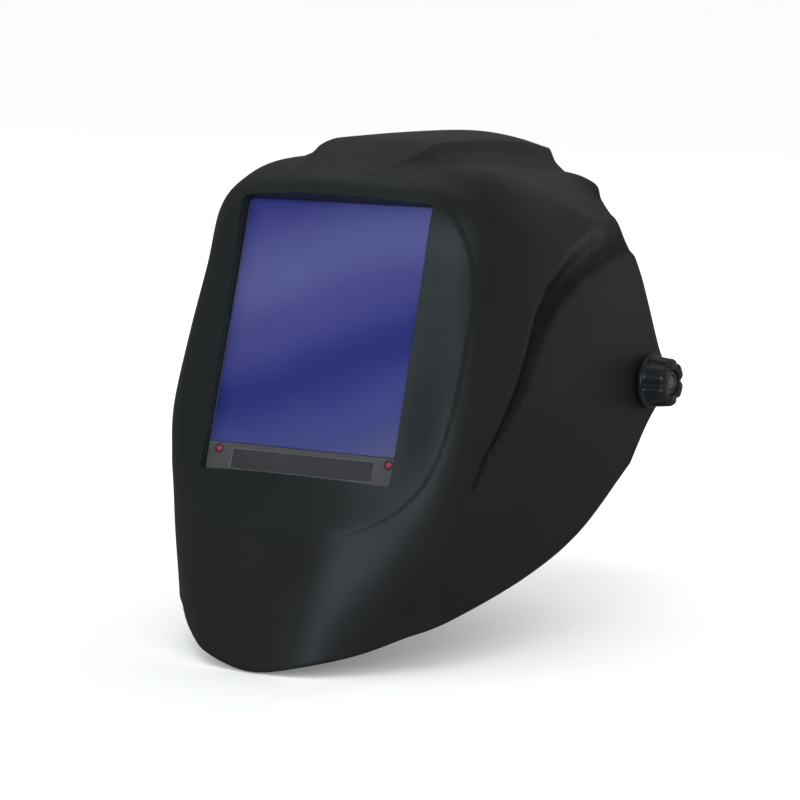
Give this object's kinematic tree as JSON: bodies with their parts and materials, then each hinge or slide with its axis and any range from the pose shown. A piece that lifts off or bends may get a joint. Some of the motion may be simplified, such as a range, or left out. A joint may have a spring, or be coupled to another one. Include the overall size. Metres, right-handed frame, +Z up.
{
  "type": "welding helmet",
  "caption": "Auto-darkening welding helmet: tilting moulded visor shell with a portrait filter window on a ratchet headgear with crown straps.",
  "frame": {"origin": "middle of the visor's tilt axis, between the two tension knobs, where the wearer's head holds the headgear", "axes": "+X along the tilt axis to the wearer's left, visor looks along -Y, +Z up"},
  "size_m": [0.26, 0.3446, 0.2668],
  "materials": {
    "shell_plastic": "satin, fine moulded grain",
    "clear_lens": "clear polycarbonate",
    "gasket_rubber": "matt",
    "washer_rubber": "matt",
    "bezel_plastic": "satin",
    "cassette_plastic": "matt",
    "lcd_glass": "polished, violet-blue coating",
    "solar_glass": "polished",
    "sensor_red": "polished",
    "board_green": "solder mask",
    "battery_steel": "brushed",
    "dial_plastic": "matt",
    "switch_red": "satin",
    "latch_plastic": "matt",
    "knob_plastic": "satin gloss",
    "insert_brass": "machined",
    "bolt_steel": "zinc plated",
    "headgear_plastic": "satin",
    "pad_fabric": "brushed cotton over foam"
  },
  "bodies": {
    "headgear": {"headband": "headgear_plastic", "sweatband": "pad_fabric", "side_band_l": "headgear_plastic", "side_band_r": "headgear_plastic", "side_arm_l": "headgear_plastic", "side_arm_r": "headgear_plastic", "arm_rivet_l": "bolt_steel", "arm_rivet_r": "bolt_steel", "crown_strap_front": "headgear_plastic", "crown_strap_rear": "headgear_plastic", "crown_bridge": "headgear_plastic", "housing_base": "headgear_plastic", "housing_cover": "headgear_plastic", "rear_pad": "pad_fabric"},
    "carriage": {"pivot_bolt_l": "bolt_steel", "pivot_bolt_r": "bolt_steel", "friction_washer_l": "washer_rubber", "friction_washer_r": "washer_rubber", "slider_plate_l": "headgear_plastic", "slider_plate_r": "headgear_plastic"},
    "visor": {"helmet_shell": "shell_plastic", "cover_lens": "clear_lens", "lens_gasket": "gasket_rubber", "filter_case": "bezel_plastic", "filter_back": "cassette_plastic", "lcd_glass": "lcd_glass", "solar_cell": "solar_glass", "sensor_l": "sensor_red", "sensor_r": "sensor_red", "circuit_board": "board_green", "battery_l": "battery_steel", "battery_r": "battery_steel", "inner_lens": "clear_lens", "holder_frame": "cassette_plastic", "stop_peg_l": "shell_plastic", "stop_peg_r": "shell_plastic"},
    "knob_l": {"tension_knob_l": "knob_plastic", "knob_insert_l": "insert_brass"},
    "knob_r": {"tension_knob_r": "knob_plastic", "knob_insert_r": "insert_brass"},
    "shade_dial": {"shade_knob": "dial_plastic"},
    "sensitivity_dial": {"sensitivity_knob": "dial_plastic"},
    "delay_dial": {"delay_knob": "dial_plastic"},
    "grind_slider": {"grind_switch": "switch_red"},
    "test_key": {"test_button": "latch_plastic"},
    "cap_l": {"battery_cap_l": "dial_plastic"},
    "cap_r": {"battery_cap_r": "dial_plastic"},
    "latch_l": {"retainer_latch_l": "latch_plastic"},
    "latch_r": {"retainer_latch_r": "latch_plastic"},
    "ratchet": {"ratchet_knob": "headgear_plastic", "ratchet_pinion": "headgear_plastic"},
    "rack_a": {"rack_upper": "headgear_plastic"},
    "rack_b": {"rack_lower": "headgear_plastic"}
  },
  "joints": [
    {"name": "fore_aft", "type": "slide", "parent": "headgear", "child": "carriage", "axis": [0, 1, 0], "range_m": [-0.01, 0.01]},
    {"name": "visor_tilt", "type": "hinge", "parent": "carriage", "child": "visor", "pos_m": [0, 0, 0], "axis": [-1, 0, 0], "range_deg": [0, 70]},
    {"name": "tension_turn_l", "type": "hinge", "parent": "carriage", "child": "knob_l", "pos_m": [-0.125, 0, 0], "axis": [-1, 0, 0], "range_deg": [0, 360]},
    {"name": "tension_turn_r", "type": "hinge", "parent": "carriage", "child": "knob_r", "pos_m": [0.125, 0, 0], "axis": [1, 0, 0], "range_deg": [0, 360]},
    {"name": "shade_turn", "type": "hinge", "parent": "visor", "child": "shade_dial", "pos_m": [0, -0.15763, -0.02952], "axis": [0, 0.9511, -0.309], "range_deg": [0, 270]},
    {"name": "sensitivity_turn", "type": "hinge", "parent": "visor", "child": "sensitivity_dial", "pos_m": [-0.0215, -0.15935, -0.03159], "axis": [0, 0.9511, -0.309], "range_deg": [0, 270]},
    {"name": "delay_turn", "type": "hinge", "parent": "visor", "child": "delay_dial", "pos_m": [0.0215, -0.15935, -0.03159], "axis": [0, 0.9511, -0.309], "range_deg": [0, 270]},
    {"name": "grind_slide", "type": "slide", "parent": "visor", "child": "grind_slider", "axis": [1, 0, 0], "range_m": [0, 0.006]},
    {"name": "test_press", "type": "slide", "parent": "visor", "child": "test_key", "axis": [0, -0.9511, 0.309], "range_m": [0, 0.0012], "stiffness_N_per_m": 400, "springref_m": -0.001},
    {"name": "cap_turn_l", "type": "hinge", "parent": "visor", "child": "cap_l", "pos_m": [-0.045, -0.16239, -0.02797], "axis": [0, 0.9511, -0.309], "range_deg": [0, 60]},
    {"name": "cap_turn_r", "type": "hinge", "parent": "visor", "child": "cap_r", "pos_m": [0.045, -0.16239, -0.02797], "axis": [0, 0.9511, -0.309], "range_deg": [0, 60]},
    {"name": "latch_slide_l", "type": "slide", "parent": "visor", "child": "latch_l", "axis": [0, 0.309, 0.9511], "range_m": [0, 0.006]},
    {"name": "latch_slide_r", "type": "slide", "parent": "visor", "child": "latch_r", "axis": [0, 0.309, 0.9511], "range_m": [0, 0.006]},
    {"name": "ratchet_turn", "type": "hinge", "parent": "headgear", "child": "ratchet", "pos_m": [0, 0.10031, -0.02766], "axis": [0, 0.829, -0.5592], "range_deg": [-90, 90]},
    {"name": "rack_slide_a", "type": "slide", "parent": "headgear", "child": "rack_a", "axis": [1, 0, 0], "range_m": [-0.0095, 0.0095]},
    {"name": "rack_slide_b", "type": "slide", "parent": "headgear", "child": "rack_b", "axis": [1, 0, 0], "range_m": [-0.0095, 0.0095]}
  ],
  "couplings": [
    {"joint": "rack_slide_a", "follows": "ratchet_turn", "m_per_rad": 0.006},
    {"joint": "rack_slide_b", "follows": "ratchet_turn", "m_per_rad": -0.006}
  ]
}
